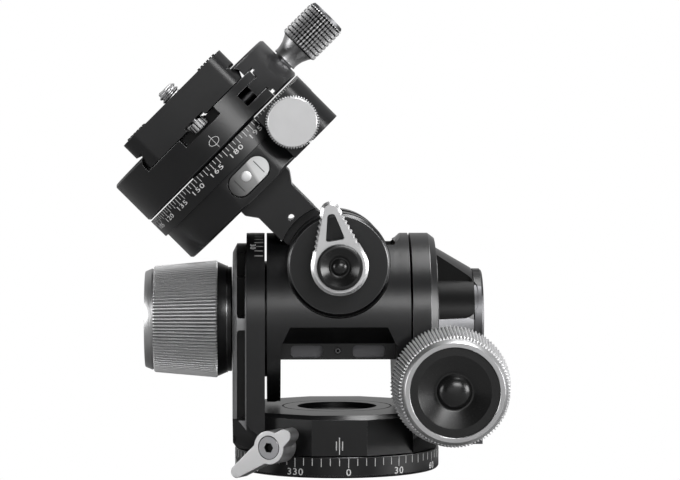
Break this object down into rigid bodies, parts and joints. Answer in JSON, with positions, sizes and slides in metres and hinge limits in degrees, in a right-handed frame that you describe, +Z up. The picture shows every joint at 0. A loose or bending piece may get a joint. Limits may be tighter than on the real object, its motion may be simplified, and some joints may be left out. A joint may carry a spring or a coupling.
{
  "type": "geared tripod head",
  "caption": "Geared camera tripod head: worm-driven tilt axes with knurled knobs, a panning base, a panning dovetail clamp with scales, and a camera plate.",
  "frame": {"origin": "centre of the tripod socket's mouth in the base's underside", "axes": "+Z up along the panning axis; +X along the lower tilt axis towards the gear housing; the front knob and the release lever face -Y"},
  "size_m": [0.1134, 0.0824, 0.1365],
  "materials": {
    "black_anodised": "bead-blasted, black anodised",
    "silver_anodised": "turned and knurled, clear anodised",
    "gloss_black": "turned, gloss black anodised",
    "steel": "turned",
    "bronze": "machined bearing bronze",
    "black_rubber": "matte, ridged",
    "vial": "clear vial, pale fluid"
  },
  "bodies": {
    "base": {"base_ring": "black_anodised", "pan_spindle": "steel", "tripod_bush": "steel", "pan_retainer": "steel"},
    "yoke": {"yoke_block": "black_anodised", "left_arm": "black_anodised", "right_arm": "black_anodised", "arm_screws": "steel", "left_bush": "bronze", "right_bush": "bronze", "gear_housing": "black_anodised", "pitch_worm_bearings": "bronze", "pan_lock_shoe": "bronze"},
    "pan_lock": {"pan_lock_screw": "steel", "pan_lock_lever": "silver_anodised"},
    "pitch_knob": {"pitch_worm": "steel", "pitch_worm_shaft": "steel", "pitch_knob_collar": "black_anodised", "pitch_knob_grip": "silver_anodised", "pitch_knob_face": "gloss_black"},
    "tilting_drum": {"drum": "black_anodised", "left_trunnion": "steel", "right_trunnion": "steel", "pitch_wheel": "bronze", "pitch_wheel_nut": "steel", "roll_bushes": "bronze", "front_cheek": "black_anodised", "rear_cheek": "black_anodised", "roll_worm_bearings": "bronze"},
    "roll_knob": {"roll_worm": "steel", "roll_worm_shaft": "steel", "roll_knob_collar": "black_anodised", "roll_knob_grip": "silver_anodised", "roll_knob_face": "gloss_black"},
    "release": {"release_collar": "black_anodised", "release_lever": "silver_anodised", "release_cap": "gloss_black"},
    "roll_arm": {"neck": "black_anodised", "roll_axle": "steel", "roll_wheel": "bronze", "deck": "black_anodised", "dial_ring": "black_anodised", "level_vial": "vial", "top_spindle": "steel", "top_retainer": "steel"},
    "deck_lock": {"deck_lock_knob": "silver_anodised", "deck_lock_screw": "steel"},
    "clamp": {"clamp_body": "black_anodised", "top_bush": "bronze"},
    "jaw": {"clamp_jaw": "black_anodised"},
    "clamp_screw_and_knob": {"clamp_screw": "steel", "clamp_knob": "silver_anodised"},
    "plate": {"camera_plate": "black_anodised", "plate_pads": "black_rubber", "plate_stops": "steel"},
    "camera_screw_body": {"camera_screw": "steel"}
  },
  "joints": [
    {"name": "base_pan", "type": "hinge", "parent": "base", "child": "yoke", "pos_m": [0, 0, 0], "axis": [0, 0, 1], "continuous": true},
    {"name": "pan_lock_turn", "type": "hinge", "parent": "yoke", "child": "pan_lock", "pos_m": [0, 0, 0.0095], "axis": [0.5, 0.866, 0], "range_deg": [0, 40]},
    {"name": "pitch_tilt", "type": "hinge", "parent": "yoke", "child": "tilting_drum", "pos_m": [0, 0, 0.0436], "axis": [1, 0, 0], "range_deg": [-90, 30]},
    {"name": "pitch_knob_turn", "type": "hinge", "parent": "yoke", "child": "pitch_knob", "pos_m": [0.0316, 0, 0.0266], "axis": [0, 1, 0], "continuous": true},
    {"name": "roll_tilt", "type": "hinge", "parent": "tilting_drum", "child": "roll_arm", "pos_m": [0, 0, 0.0606], "axis": [0, 1, 0], "range_deg": [0, 90]},
    {"name": "roll_knob_turn", "type": "hinge", "parent": "tilting_drum", "child": "roll_knob", "pos_m": [0, 0, 0.0436], "axis": [1, 0, 0], "continuous": true},
    {"name": "release_turn", "type": "hinge", "parent": "tilting_drum", "child": "release", "pos_m": [0, 0, 0.0606], "axis": [0, -1, 0], "range_deg": [0, 90]},
    {"name": "top_pan", "type": "hinge", "parent": "roll_arm", "child": "clamp", "pos_m": [0, 0, 0.0606], "axis": [-0.7071, 0, 0.7071], "continuous": true},
    {"name": "deck_lock_turn", "type": "hinge", "parent": "roll_arm", "child": "deck_lock", "pos_m": [-0.01344, 0, 0.10161], "axis": [0, 1, 0], "range_deg": [0, 180]},
    {"name": "jaw_slide", "type": "slide", "parent": "clamp", "child": "jaw", "axis": [0.7071, 0, 0.7071], "range_m": [0, 0.003]},
    {"name": "clamp_knob_turn", "type": "hinge", "parent": "jaw", "child": "clamp_screw_and_knob", "pos_m": [-0.03726, 0, 0.09786], "axis": [0.7071, 0, 0.7071], "range_deg": [0, 1080]},
    {"name": "plate_slide", "type": "slide", "parent": "clamp", "child": "plate", "axis": [0, 1, 0], "range_m": [-0.007, 0.007]},
    {"name": "camera_screw_turn", "type": "hinge", "parent": "plate", "child": "camera_screw_body", "pos_m": [-0.04384, 0, 0.10444], "axis": [-0.7071, 0, 0.7071], "continuous": true}
  ],
  "couplings": [
    {"joint": "pitch_knob_turn", "follows": "pitch_tilt", "ratio": -32},
    {"joint": "roll_knob_turn", "follows": "roll_tilt", "ratio": 32},
    {"joint": "jaw_slide", "follows": "clamp_knob_turn", "m_per_rad": 0.00015915}
  ]
}
